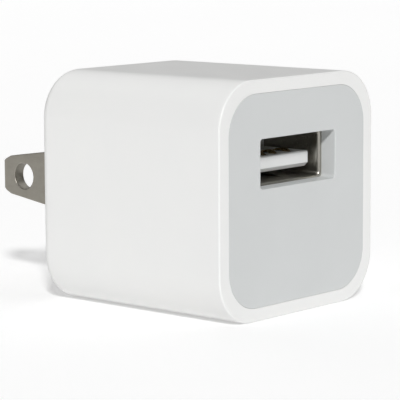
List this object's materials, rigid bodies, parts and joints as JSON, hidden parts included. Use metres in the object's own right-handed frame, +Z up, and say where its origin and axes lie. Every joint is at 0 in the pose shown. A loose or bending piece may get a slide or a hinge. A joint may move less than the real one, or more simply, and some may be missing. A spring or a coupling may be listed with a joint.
{
  "type": "usb wall charger",
  "caption": "Compact cube-shaped USB wall charger with two flat mains blades on the back and a USB-A socket in an inset front plate.",
  "frame": {"origin": "centre of the underside, on the plane that the charger rests on when the blades are level", "axes": "+Z up; +Y out of the wall side, along the blades; -Y out of the USB socket; +X to the right when looking into the socket"},
  "size_m": [0.0274, 0.0406, 0.027],
  "materials": {
    "housing_white": "satin gloss moulded polycarbonate",
    "plate_grey": "fine satin moulded polycarbonate, cool light grey",
    "blade_nickel": "satin nickel plate over brass",
    "moulded_black": "glass-filled nylon",
    "contact_brass": "stamped strip",
    "board_green": "solder mask on glass epoxy",
    "resistor_blue": "lacquered ceramic body",
    "inductor_green": "lacquered choke body",
    "chip_black": "moulded epoxy",
    "capacitor_sleeve": "shrink sleeve on an aluminium can",
    "opto_white": "moulded epoxy",
    "disc_blue": "dipped ceramic disc",
    "ferrite": "ground ferrite",
    "copper_wire": "enamelled copper wire",
    "tape_yellow": "polyester tape",
    "tinned_pin": "tinned wire",
    "wire_red": "insulated wire",
    "sheet_film": "clear amber insulating film",
    "capacitor_can": "drawn aluminium can",
    "shell_nickel": "nickel-plated rolled steel",
    "tongue_white": "moulded thermoplastic",
    "contact_gold": "gold flash over a copper alloy"
  },
  "bodies": {
    "charger_body": {"housing": "housing_white", "face_plate": "plate_grey", "left_blade": "blade_nickel", "right_blade": "blade_nickel", "blade_holder": "moulded_black", "left_blade_contact": "contact_brass", "right_blade_contact": "contact_brass", "primary_board": "board_green", "fusible_resistor": "resistor_blue", "filter_inductor": "inductor_green", "bridge_rectifier": "chip_black", "snubber_diode": "chip_black", "bulk_capacitor_left": "capacitor_sleeve", "bulk_capacitor_right": "capacitor_sleeve", "switching_transistor": "chip_black", "controller_chip": "chip_black", "optocoupler": "opto_white", "y_capacitor": "disc_blue", "transformer_core_lower": "ferrite", "transformer_core_upper": "ferrite", "transformer_bobbin": "moulded_black", "transformer_winding": "copper_wire", "transformer_tape": "tape_yellow", "transformer_pins": "tinned_pin", "secondary_leads": "wire_red", "insulation_sheet": "sheet_film", "secondary_board": "board_green", "output_capacitor_left": "capacitor_can", "output_capacitor_right": "capacitor_can", "output_diode": "chip_black", "feedback_chip": "chip_black", "board_resistors": "chip_black", "usb_shell": "shell_nickel", "usb_insulator": "tongue_white", "usb_contact_tails": "contact_gold"},
    "usb_contact_power": {"usb_contact_power": "contact_gold"},
    "usb_contact_data_minus": {"usb_contact_data_minus": "contact_gold"},
    "usb_contact_data_plus": {"usb_contact_data_plus": "contact_gold"},
    "usb_contact_ground": {"usb_contact_ground": "contact_gold"},
    "shell_spring_upper_left": {"shell_spring_upper_left": "shell_nickel"},
    "shell_spring_upper_right": {"shell_spring_upper_right": "shell_nickel"},
    "shell_spring_lower_left": {"shell_spring_lower_left": "shell_nickel"},
    "shell_spring_lower_right": {"shell_spring_lower_right": "shell_nickel"}
  },
  "joints": [
    {"name": "power_contact_flex", "type": "hinge", "parent": "charger_body", "child": "usb_contact_power", "pos_m": [0.0035, -0.0037, 0.01728], "axis": [1, 0, 0], "range_deg": [0, 3.5], "stiffness_Nm_per_rad": 0.02},
    {"name": "data_minus_contact_flex", "type": "hinge", "parent": "charger_body", "child": "usb_contact_data_minus", "pos_m": [0.001, -0.0037, 0.01728], "axis": [1, 0, 0], "range_deg": [0, 3.5], "stiffness_Nm_per_rad": 0.02},
    {"name": "data_plus_contact_flex", "type": "hinge", "parent": "charger_body", "child": "usb_contact_data_plus", "pos_m": [-0.001, -0.0037, 0.01728], "axis": [1, 0, 0], "range_deg": [0, 3.5], "stiffness_Nm_per_rad": 0.02},
    {"name": "ground_contact_flex", "type": "hinge", "parent": "charger_body", "child": "usb_contact_ground", "pos_m": [-0.0035, -0.0037, 0.01728], "axis": [1, 0, 0], "range_deg": [0, 3.5], "stiffness_Nm_per_rad": 0.02},
    {"name": "upper_left_spring_flex", "type": "hinge", "parent": "charger_body", "child": "shell_spring_upper_left", "pos_m": [-0.0033, -0.01015, 0.02026], "axis": [1, 0, 0], "range_deg": [0, 6], "stiffness_Nm_per_rad": 0.03},
    {"name": "upper_right_spring_flex", "type": "hinge", "parent": "charger_body", "child": "shell_spring_upper_right", "pos_m": [0.0033, -0.01015, 0.02026], "axis": [1, 0, 0], "range_deg": [0, 6], "stiffness_Nm_per_rad": 0.03},
    {"name": "lower_left_spring_flex", "type": "hinge", "parent": "charger_body", "child": "shell_spring_lower_left", "pos_m": [-0.0033, -0.01015, 0.01484], "axis": [-1, 0, 0], "range_deg": [0, 6], "stiffness_Nm_per_rad": 0.03},
    {"name": "lower_right_spring_flex", "type": "hinge", "parent": "charger_body", "child": "shell_spring_lower_right", "pos_m": [0.0033, -0.01015, 0.01484], "axis": [-1, 0, 0], "range_deg": [0, 6], "stiffness_Nm_per_rad": 0.03}
  ]
}
